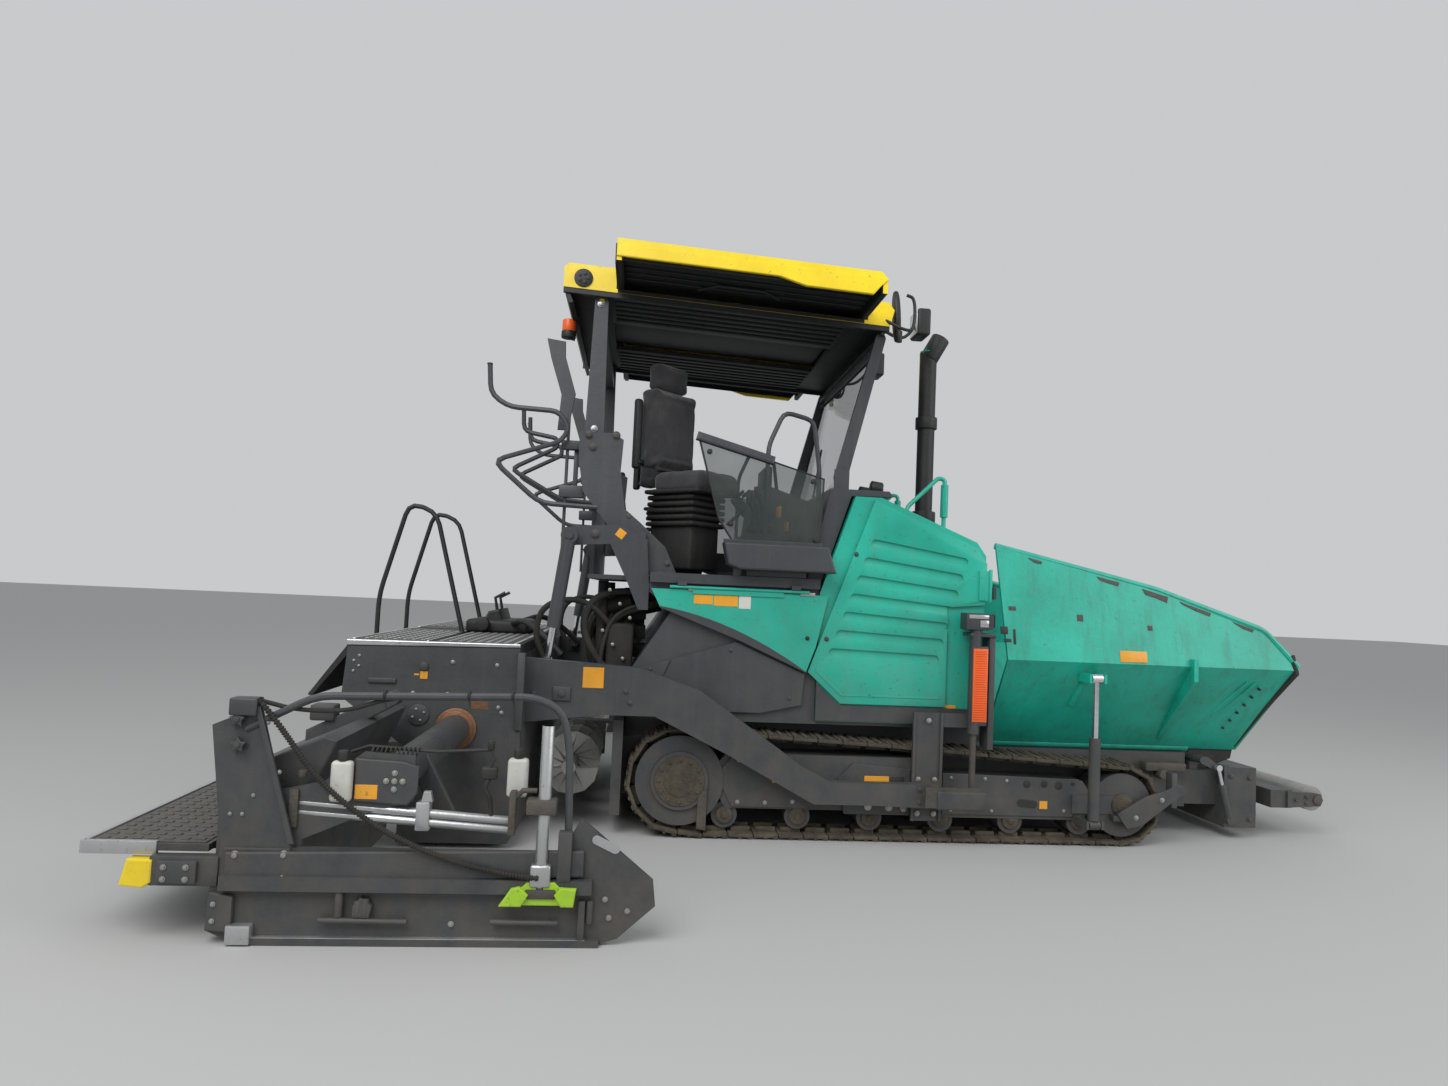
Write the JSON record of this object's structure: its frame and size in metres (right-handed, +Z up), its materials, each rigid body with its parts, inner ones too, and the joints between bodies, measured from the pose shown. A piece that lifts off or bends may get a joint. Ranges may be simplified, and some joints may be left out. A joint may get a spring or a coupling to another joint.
{
  "type": "tracked asphalt paver",
  "caption": "Tracked asphalt paver with a folding canopy, a green bonnet, a folding hopper at the front and a wide extending screed behind.",
  "frame": {"origin": "Centre of the bounding box at ground level, under the middle of the whole machine from the push rollers to the rear walkway.", "axes": "+X points forwards to the hopper and push rollers, +Y to the machine's left, +Z up. Tracks and end gates stand on Z = 0."},
  "size_m": [7.312, 5.942, 3.7285],
  "materials": {
    "green": "satin",
    "slate": "satin",
    "yellow": "satin",
    "black": "matte",
    "track": "matte",
    "chrome": "polished",
    "steel": "brushed",
    "glass": "clear",
    "iron": "matte",
    "fabric": "matte"
  },
  "bodies": {
    "tractor": {"chassis": "slate", "track_right": "track", "track_left": "track", "track_frame_right": "slate", "track_frame_left": "slate", "bonnet": "green", "engine": "iron", "platform": "slate", "side_screen_right": "black", "side_screen_left": "black", "seat_right": "fabric", "seat_left": "fabric", "windscreen": "glass", "rear_arm_right": "slate", "rear_arm_left": "slate", "levelling_cylinder_right": "slate", "levelling_cylinder_left": "slate"},
    "tow_points": {"tow_point_right": "chrome", "tow_point_left": "chrome"},
    "screed": {"screed_frame": "slate", "screed_cover": "black"},
    "canopy_rear": {"canopy_rear_frame": "slate"},
    "roof": {"canopy_roof": "yellow"},
    "canopy_front": {"canopy_front_frame": "slate"},
    "apron": {"apron": "slate"},
    "push_bar": {"push_bar": "slate"},
    "lift_barrel_right": {"lift_barrel_right": "slate"},
    "lift_rod_right": {"lift_rod_right": "chrome"},
    "engine_door_right": {"engine_door_right": "green"},
    "side_flap_right": {"side_flap_right": "green"},
    "awning_right": {"awning_right": "yellow"},
    "seat_back_right": {"seat_back_right": "fabric"},
    "hopper_wing_right": {"hopper_wing_right": "green"},
    "wing_barrel_right": {"wing_barrel_right": "slate"},
    "wing_rod_right": {"wing_rod_right": "chrome"},
    "apron_barrel_right": {"apron_barrel_right": "slate"},
    "apron_rod_right": {"apron_rod_right": "chrome"},
    "push_roller_right": {"push_roller_right": "steel"},
    "auger_right": {"auger_right": "iron"},
    "extension_right": {"extension_right": "slate", "end_gate_right": "slate"},
    "lift_barrel_left": {"lift_barrel_left": "slate"},
    "lift_rod_left": {"lift_rod_left": "chrome"},
    "engine_door_left": {"engine_door_left": "green"},
    "side_flap_left": {"side_flap_left": "green"},
    "awning_left": {"awning_left": "yellow"},
    "seat_back_left": {"seat_back_left": "fabric"},
    "hopper_wing_left": {"hopper_wing_left": "green"},
    "wing_barrel_left": {"wing_barrel_left": "slate"},
    "wing_rod_left": {"wing_rod_left": "chrome"},
    "apron_barrel_left": {"apron_barrel_left": "slate"},
    "apron_rod_left": {"apron_rod_left": "chrome"},
    "push_roller_left": {"push_roller_left": "steel"},
    "auger_left": {"auger_left": "iron"},
    "extension_left": {"extension_left": "slate", "end_gate_left": "slate"}
  },
  "joints": [
    {"name": "tow_point_height", "type": "slide", "parent": "tractor", "child": "tow_points", "axis": [0, 0, 1], "range_m": [-0.1, 0.2]},
    {"name": "screed_lift", "type": "hinge", "parent": "tow_points", "child": "screed", "pos_m": [0.574, 0, 0.33], "axis": [0, 1, 0], "range_deg": [0, 4]},
    {"name": "canopy_fold", "type": "hinge", "parent": "tractor", "child": "canopy_rear", "pos_m": [-1.706, 0, 2.5], "axis": [0, -1, 0], "range_deg": [0, 50]},
    {"name": "roof_level", "type": "hinge", "parent": "canopy_rear", "child": "roof", "pos_m": [-1.701, 0, 3.5], "axis": [0, -1, 0], "range_deg": [-42.96, 0]},
    {"name": "canopy_front_fold", "type": "hinge", "parent": "tractor", "child": "canopy_front", "pos_m": [-0.016, 0, 2.4], "axis": [0, -1, 0], "range_deg": [0, 45.01]},
    {"name": "apron_fold", "type": "hinge", "parent": "tractor", "child": "apron", "pos_m": [2.674, 0, 0.545], "axis": [0, 1, 0], "range_deg": [0, 50]},
    {"name": "push_bar_swing", "type": "hinge", "parent": "tractor", "child": "push_bar", "pos_m": [3.204, 0, 0.277], "axis": [0, 0, 1], "range_deg": [-8, 8]},
    {"name": "extension_slide_right", "type": "slide", "parent": "screed", "child": "extension_right", "axis": [0, 1, 0], "range_m": [0, 1.35]},
    {"name": "lift_cylinder_swing_right", "type": "hinge", "parent": "tractor", "child": "lift_barrel_right", "pos_m": [-1.816, -1.175, 1.9], "axis": [0, 1, 0], "range_deg": [-3.24, 0]},
    {"name": "lift_cylinder_rod_right", "type": "slide", "parent": "lift_barrel_right", "child": "lift_rod_right", "axis": [-0.1203, 0, -0.9927], "range_m": [-0.1767, 0]},
    {"name": "engine_door_hinge_right", "type": "hinge", "parent": "tractor", "child": "engine_door_right", "pos_m": [0.999, -1.1576, 1.7], "axis": [0, 0, 1], "range_deg": [0, 90]},
    {"name": "side_flap_hinge_right", "type": "hinge", "parent": "tractor", "child": "side_flap_right", "pos_m": [-0.696, -1.1656, 1.6], "axis": [-1, 0, 0], "range_deg": [0, 95]},
    {"name": "awning_slide_right", "type": "slide", "parent": "roof", "child": "awning_right", "axis": [0, 1, 0], "range_m": [0, 0.45]},
    {"name": "seat_back_fold_right", "type": "hinge", "parent": "tractor", "child": "seat_back_right", "pos_m": [-1.12914, -0.59686, 2.4203], "axis": [0.7071, 0.7071, 0], "range_deg": [0, 55.01]},
    {"name": "hopper_wing_hinge_right", "type": "hinge", "parent": "tractor", "child": "hopper_wing_right", "pos_m": [-1.356, -0.8, 0.6153], "axis": [1, 0, 0], "range_deg": [0, 30]},
    {"name": "wing_cylinder_swing_right", "type": "hinge", "parent": "tractor", "child": "wing_barrel_right", "pos_m": [1.674, -1.315, 0.17], "axis": [1, 0, 0], "range_deg": [0, 16.35]},
    {"name": "wing_cylinder_rod_right", "type": "slide", "parent": "wing_barrel_right", "child": "wing_rod_right", "axis": [0, 0, 1], "range_m": [-0.29887, 0]},
    {"name": "apron_cylinder_swing_right", "type": "hinge", "parent": "tractor", "child": "apron_barrel_right", "pos_m": [2.854, -0.985, 0.14], "axis": [0, 1, 0], "range_deg": [-12.98, 0]},
    {"name": "apron_cylinder_rod_right", "type": "slide", "parent": "apron_barrel_right", "child": "apron_rod_right", "axis": [-0.2425, 0, 0.9701], "range_m": [-0.0264, 0]},
    {"name": "push_roller_turn_right", "type": "hinge", "parent": "push_bar", "child": "push_roller_right", "pos_m": [3.569, -0.5, 0.277], "axis": [0, 1, 0], "continuous": true},
    {"name": "auger_turn_right", "type": "hinge", "parent": "tractor", "child": "auger_right", "pos_m": [-1.746, -0.6, 0.42], "axis": [0, 1, 0], "continuous": true},
    {"name": "extension_slide_left", "type": "slide", "parent": "screed", "child": "extension_left", "axis": [0, -1, 0], "range_m": [0, 1.35]},
    {"name": "lift_cylinder_swing_left", "type": "hinge", "parent": "tractor", "child": "lift_barrel_left", "pos_m": [-1.816, 1.175, 1.9], "axis": [0, 1, 0], "range_deg": [-3.24, 0]},
    {"name": "lift_cylinder_rod_left", "type": "slide", "parent": "lift_barrel_left", "child": "lift_rod_left", "axis": [-0.1203, 0, -0.9927], "range_m": [-0.1767, 0]},
    {"name": "engine_door_hinge_left", "type": "hinge", "parent": "tractor", "child": "engine_door_left", "pos_m": [0.999, 1.1576, 1.7], "axis": [0, 0, -1], "range_deg": [0, 90]},
    {"name": "side_flap_hinge_left", "type": "hinge", "parent": "tractor", "child": "side_flap_left", "pos_m": [-0.696, 1.1656, 1.6], "axis": [1, 0, 0], "range_deg": [0, 95]},
    {"name": "awning_slide_left", "type": "slide", "parent": "roof", "child": "awning_left", "axis": [0, -1, 0], "range_m": [0, 0.45]},
    {"name": "seat_back_fold_left", "type": "hinge", "parent": "tractor", "child": "seat_back_left", "pos_m": [-1.12914, 0.59686, 2.4203], "axis": [-0.7071, 0.7071, 0], "range_deg": [0, 55.01]},
    {"name": "hopper_wing_hinge_left", "type": "hinge", "parent": "tractor", "child": "hopper_wing_left", "pos_m": [-1.356, 0.8, 0.6153], "axis": [-1, 0, 0], "range_deg": [0, 30]},
    {"name": "wing_cylinder_swing_left", "type": "hinge", "parent": "tractor", "child": "wing_barrel_left", "pos_m": [1.674, 1.315, 0.17], "axis": [-1, 0, 0], "range_deg": [0, 16.35]},
    {"name": "wing_cylinder_rod_left", "type": "slide", "parent": "wing_barrel_left", "child": "wing_rod_left", "axis": [0, 0, 1], "range_m": [-0.29887, 0]},
    {"name": "apron_cylinder_swing_left", "type": "hinge", "parent": "tractor", "child": "apron_barrel_left", "pos_m": [2.854, 0.985, 0.14], "axis": [0, 1, 0], "range_deg": [-12.98, 0]},
    {"name": "apron_cylinder_rod_left", "type": "slide", "parent": "apron_barrel_left", "child": "apron_rod_left", "axis": [-0.2425, 0, 0.9701], "range_m": [-0.0264, 0]},
    {"name": "push_roller_turn_left", "type": "hinge", "parent": "push_bar", "child": "push_roller_left", "pos_m": [3.569, 0.5, 0.277], "axis": [0, 1, 0], "continuous": true},
    {"name": "auger_turn_left", "type": "hinge", "parent": "tractor", "child": "auger_left", "pos_m": [-1.746, 0.6, 0.42], "axis": [0, 1, 0], "continuous": true}
  ],
  "couplings": [
    {"joint": "roof_level", "follows": "canopy_fold", "ratio": -0.859},
    {"joint": "canopy_front_fold", "follows": "canopy_fold", "ratio": 0.9},
    {"joint": "lift_cylinder_swing_right", "follows": "screed_lift", "ratio": -0.80875},
    {"joint": "lift_cylinder_rod_right", "follows": "screed_lift", "m_per_rad": -2.5296},
    {"joint": "seat_back_fold_right", "follows": "canopy_fold", "ratio": 1.1},
    {"joint": "wing_cylinder_swing_right", "follows": "hopper_wing_hinge_right", "ratio": 0.54509},
    {"joint": "wing_cylinder_rod_right", "follows": "hopper_wing_hinge_right", "m_per_rad": -0.57061},
    {"joint": "apron_cylinder_swing_right", "follows": "apron_fold", "ratio": -0.25966},
    {"joint": "apron_cylinder_rod_right", "follows": "apron_fold", "m_per_rad": -0.030138},
    {"joint": "lift_cylinder_swing_left", "follows": "screed_lift", "ratio": -0.80875},
    {"joint": "lift_cylinder_rod_left", "follows": "screed_lift", "m_per_rad": -2.5296},
    {"joint": "seat_back_fold_left", "follows": "canopy_fold", "ratio": 1.1},
    {"joint": "wing_cylinder_swing_left", "follows": "hopper_wing_hinge_left", "ratio": 0.54509},
    {"joint": "wing_cylinder_rod_left", "follows": "hopper_wing_hinge_left", "m_per_rad": -0.57061},
    {"joint": "apron_cylinder_swing_left", "follows": "apron_fold", "ratio": -0.25966},
    {"joint": "apron_cylinder_rod_left", "follows": "apron_fold", "m_per_rad": -0.030138}
  ]
}
